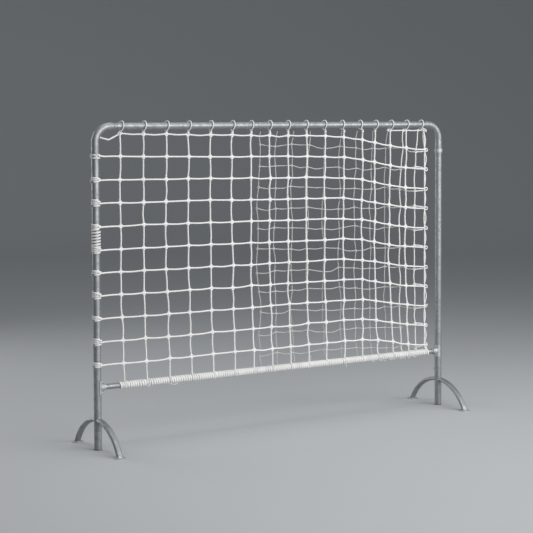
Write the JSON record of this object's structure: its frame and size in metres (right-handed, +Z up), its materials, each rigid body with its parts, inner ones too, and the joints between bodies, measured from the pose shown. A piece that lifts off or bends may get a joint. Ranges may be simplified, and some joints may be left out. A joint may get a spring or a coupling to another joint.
{
  "type": "pitch back rebounder",
  "caption": "Free-standing tube frame on two arched feet, with a knotted square-mesh rope net hung from its top rail and lashed to the side and bottom.",
  "frame": {"origin": "on the floor, in the middle between the four pads", "axes": "+X along the frame towards the right upright as seen by the player, +Y to the rear, +Z up; the player stands at -Y"},
  "size_m": [2.057, 0.483, 1.5042],
  "materials": {
    "galvanised_tube": "hot-dip galvanised round tube, satin grey with a faint mottle",
    "galvanised_fittings": "galvanised pressed steel, slightly brighter than the tube",
    "zinc_fasteners": "bright zinc-plated steel",
    "spring_steel": "dark oiled spring strip",
    "grey_plastic": "moulded grey polyethylene",
    "white_net_cord": "white braided polyester cord",
    "white_lashing_rope": "white twisted polyester rope"
  },
  "bodies": {
    "frame": {"upright_left": "galvanised_tube", "upright_right": "galvanised_tube", "collar_left": "galvanised_fittings", "collar_right": "galvanised_fittings", "corner_bend_left": "galvanised_tube", "corner_bend_right": "galvanised_tube", "top_rail": "galvanised_tube", "bottom_rail": "galvanised_tube", "rail_saddle_left": "galvanised_fittings", "rail_saddle_right": "galvanised_fittings", "saddle_screws_left": "zinc_fasteners", "saddle_screws_right": "zinc_fasteners", "snap_spring_left": "spring_steel", "snap_spring_right": "spring_steel", "foot_nut_left": "zinc_fasteners", "foot_nut_right": "zinc_fasteners", "foot_screw_left": "zinc_fasteners", "foot_screw_right": "zinc_fasteners", "net_rows": "white_net_cord", "net_columns": "white_net_cord", "net_edge_cord": "white_net_cord", "net_fold_links": "white_net_cord", "rear_net_rows": "white_net_cord", "rear_net_columns": "white_net_cord", "hanging_loops": "white_net_cord", "side_lashing": "white_net_cord", "bottom_lashing": "white_lashing_rope"},
    "foot_left": {"foot_post_left": "galvanised_tube", "foot_bow_left": "galvanised_tube", "foot_pads_left": "galvanised_fittings", "post_cap_left": "grey_plastic"},
    "foot_right": {"foot_post_right": "galvanised_tube", "foot_bow_right": "galvanised_tube", "foot_pads_right": "galvanised_fittings", "post_cap_right": "grey_plastic"},
    "snap_button_left_outer": {"snap_button_left_outer": "zinc_fasteners"},
    "snap_button_left_inner": {"snap_button_left_inner": "zinc_fasteners"},
    "snap_button_right_inner": {"snap_button_right_inner": "zinc_fasteners"},
    "snap_button_right_outer": {"snap_button_right_outer": "zinc_fasteners"}
  },
  "joints": [
    {"name": "foot_left_fold", "type": "hinge", "parent": "frame", "child": "foot_left", "pos_m": [-1, 0, 0.2], "axis": [0, 0, 1], "range_deg": [-90, 90]},
    {"name": "foot_right_fold", "type": "hinge", "parent": "frame", "child": "foot_right", "pos_m": [1, 0, 0.2], "axis": [0, 0, 1], "range_deg": [-90, 90]},
    {"name": "press_button_left_outer", "type": "slide", "parent": "frame", "child": "snap_button_left_outer", "axis": [1, 0, 0], "range_m": [0, 0.0098], "stiffness_N_per_m": 900, "springref_m": -0.004, "deforming": ["snap_spring_left"]},
    {"name": "press_button_left_inner", "type": "slide", "parent": "frame", "child": "snap_button_left_inner", "axis": [-1, 0, 0], "range_m": [0, 0.0098], "stiffness_N_per_m": 900, "springref_m": -0.004},
    {"name": "press_button_right_inner", "type": "slide", "parent": "frame", "child": "snap_button_right_inner", "axis": [1, 0, 0], "range_m": [0, 0.0098], "stiffness_N_per_m": 900, "springref_m": -0.004, "deforming": ["snap_spring_right"]},
    {"name": "press_button_right_outer", "type": "slide", "parent": "frame", "child": "snap_button_right_outer", "axis": [-1, 0, 0], "range_m": [0, 0.0098], "stiffness_N_per_m": 900, "springref_m": -0.004}
  ]
}
